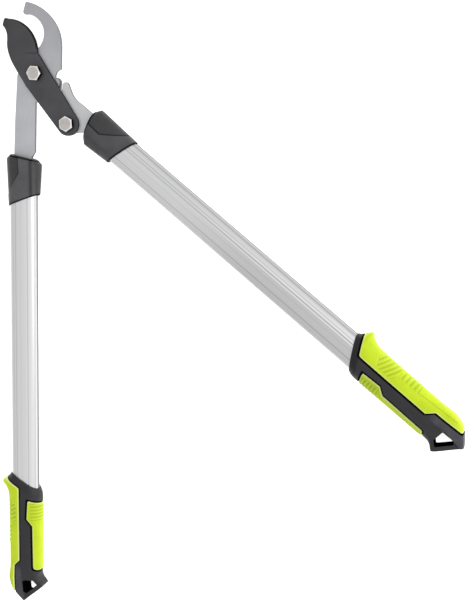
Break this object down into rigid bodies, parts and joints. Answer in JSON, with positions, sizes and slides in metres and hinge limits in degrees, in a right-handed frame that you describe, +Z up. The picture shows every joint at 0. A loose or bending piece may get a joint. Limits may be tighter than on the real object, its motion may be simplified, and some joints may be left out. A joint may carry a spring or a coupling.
{
  "type": "compound-action bypass lopper",
  "caption": "Two-handed bypass lopper with a curved hook, coated blade, force-multiplying link, oval metal handles and two-colour grips, shown open.",
  "frame": {"origin": "middle of the tool's bounding box in plan, on the surface it lies on", "axes": "+Z up from the surface the tool lies on, +Y along the left handle towards the head, +X to the right when seen from above"},
  "size_m": [0.6016, 0.7864, 0.0317],
  "materials": {
    "plate_steel": "satin, light grey",
    "blade_coating": "satin non-stick black coating",
    "link_steel": "satin",
    "bolt_plating": "bright plated",
    "anodised_tube": "satin anodised",
    "rivet_alloy": "plain",
    "insert_plastic": "moulded",
    "collar_plastic": "fine moulded grain",
    "grip_plastic": "fine moulded grain",
    "grip_green": "soft-touch, lime green"
  },
  "bodies": {
    "left_handle": {"hook_plate": "plate_steel", "head_bolt": "bolt_plating", "head_washer": "bolt_plating", "head_lock_nut": "bolt_plating", "ear_pin": "bolt_plating", "left_tube": "anodised_tube", "left_tube_insert": "insert_plastic", "left_rivets": "rivet_alloy", "left_collar": "collar_plastic", "left_grip_core": "grip_plastic", "left_outer_pad": "grip_green", "left_inner_pad": "grip_green"},
    "blade": {"cutting_blade": "blade_coating", "tail_bolt": "bolt_plating", "tail_washer": "bolt_plating", "tail_lock_nut": "bolt_plating"},
    "right_handle": {"right_arm": "plate_steel", "arm_pin": "bolt_plating", "right_tube": "anodised_tube", "right_tube_insert": "insert_plastic", "right_rivets": "rivet_alloy", "right_collar": "collar_plastic", "right_grip_core": "grip_plastic", "right_outer_pad": "grip_green", "right_inner_pad": "grip_green"},
    "link": {"power_link": "link_steel"}
  },
  "joints": [
    {"name": "blade_pivot", "type": "hinge", "parent": "left_handle", "child": "blade", "pos_m": [-0.24743, 0.30579, 0.01583], "axis": [0, 0, 1], "range_deg": [-21.4, 0.9]},
    {"name": "handle_pivot", "type": "hinge", "parent": "blade", "child": "right_handle", "pos_m": [-0.20331, 0.24422, 0.01583], "axis": [0, 0, 1], "range_deg": [-26.6, 1]},
    {"name": "link_swing", "type": "hinge", "parent": "left_handle", "child": "link", "pos_m": [-0.22192, 0.2946, 0.01583], "axis": [0, 0, 1], "range_deg": [-10.1, 0.5]}
  ],
  "couplings": [
    {"joint": "blade_pivot", "follows": "handle_pivot", "ratio": 0.8},
    {"joint": "link_swing", "follows": "handle_pivot", "ratio": 0.376}
  ]
}
